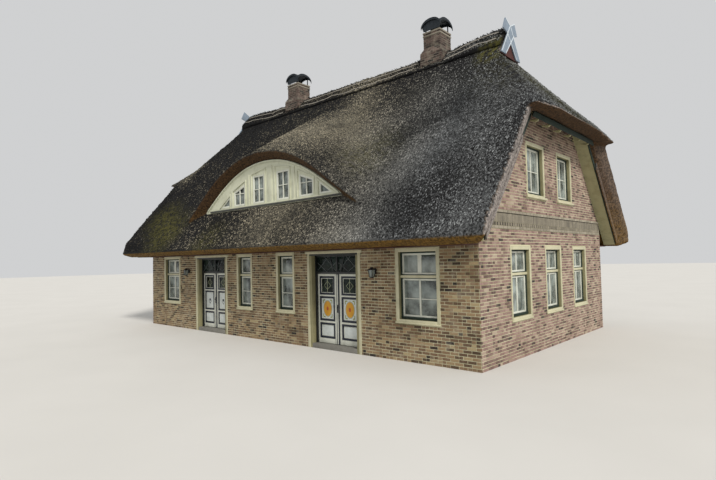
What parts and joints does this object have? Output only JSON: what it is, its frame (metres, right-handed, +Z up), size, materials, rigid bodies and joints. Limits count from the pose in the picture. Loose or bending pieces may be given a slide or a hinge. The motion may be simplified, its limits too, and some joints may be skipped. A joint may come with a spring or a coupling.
{
  "type": "thatched cottage",
  "caption": "Brick cottage with a steep half-hipped thatched roof, an eyebrow dormer and double front doors that open inwards.",
  "frame": {"origin": "on the ground in the middle of the plan, at the foot of the brick walls", "axes": "+X along the front to the right as seen from the doors, -Y out of the front with the doors, +Z up"},
  "size_m": [17.1, 10.55, 10.4],
  "materials": {
    "brick": "rough facing brick with light mortar",
    "thatch": "weathered reed, rough",
    "ridge_thatch": "lighter reed, rough",
    "reed_board": "brown boards",
    "floor_tile": "matt",
    "floor_board": "satin",
    "cream_paint": "satin paint",
    "window_paint": "satin paint",
    "frame_paint": "satin paint",
    "leaf_paint": "satin paint",
    "gable_board_paint": "worn paint",
    "glazing": "clear",
    "dark_metal": "dull"
  },
  "bodies": {
    "house": {"ground_floor": "floor_tile", "upper_floor": "floor_board", "front_wall_left": "brick", "front_wall_middle": "brick", "front_wall_right": "brick", "front_wall_head": "brick", "back_wall": "brick", "back_wall_head": "brick", "right_gable_wall": "brick", "left_gable_wall": "brick", "front_window_far_left": "window_paint", "front_window_left": "window_paint", "front_window_right": "window_paint", "front_window_far_right": "window_paint", "back_window_1": "window_paint", "back_window_2": "window_paint", "back_window_3": "window_paint", "back_window_4": "window_paint", "right_gable_window_1": "window_paint", "left_gable_window_1": "window_paint", "right_gable_window_2": "window_paint", "left_gable_window_2": "window_paint", "right_gable_window_3": "window_paint", "left_gable_window_3": "window_paint", "right_upper_window_1": "window_paint", "left_upper_window_1": "window_paint", "right_upper_window_2": "window_paint", "left_upper_window_2": "window_paint", "left_door_surround": "cream_paint", "left_door_frame": "frame_paint", "right_door_surround": "cream_paint", "right_door_frame": "frame_paint", "thatch_front": "thatch", "thatch_back": "thatch", "right_hip_thatch": "thatch", "left_hip_thatch": "thatch", "ridge_cap": "ridge_thatch", "right_owl_hole_panel": "reed_board", "left_owl_hole_panel": "reed_board", "right_crossed_gable_boards": "gable_board_paint", "left_crossed_gable_boards": "gable_board_paint", "right_gable_soffit": "cream_paint", "left_gable_soffit": "cream_paint", "front_eaves_soffit": "cream_paint", "back_eaves_soffit": "cream_paint", "dormer_front": "cream_paint", "dormer_glazing": "glazing", "left_chimney": "brick", "left_chimney_hood": "dark_metal", "right_chimney": "brick", "right_chimney_hood": "dark_metal", "left_wall_lantern": "dark_metal", "right_wall_lantern": "dark_metal"},
    "left_door_left_leaf": {"left_door_leaf_left": "leaf_paint"},
    "left_door_right_leaf": {"left_door_leaf_right": "leaf_paint"},
    "right_door_left_leaf": {"right_door_leaf_left": "leaf_paint"},
    "right_door_right_leaf": {"right_door_leaf_right": "leaf_paint"}
  },
  "joints": [
    {"name": "left_door_left_leaf_hinge", "type": "hinge", "parent": "house", "child": "left_door_left_leaf", "pos_m": [-3.9137, -4, 0.13], "axis": [0, 0, 1], "range_deg": [0, 90]},
    {"name": "left_door_right_leaf_hinge", "type": "hinge", "parent": "house", "child": "left_door_right_leaf", "pos_m": [-2.2863, -4, 0.13], "axis": [0, 0, -1], "range_deg": [0, 90]},
    {"name": "right_door_left_leaf_hinge", "type": "hinge", "parent": "house", "child": "right_door_left_leaf", "pos_m": [2.2863, -4, 0.13], "axis": [0, 0, 1], "range_deg": [0, 90]},
    {"name": "right_door_right_leaf_hinge", "type": "hinge", "parent": "house", "child": "right_door_right_leaf", "pos_m": [3.9137, -4, 0.13], "axis": [0, 0, -1], "range_deg": [0, 90]}
  ]
}
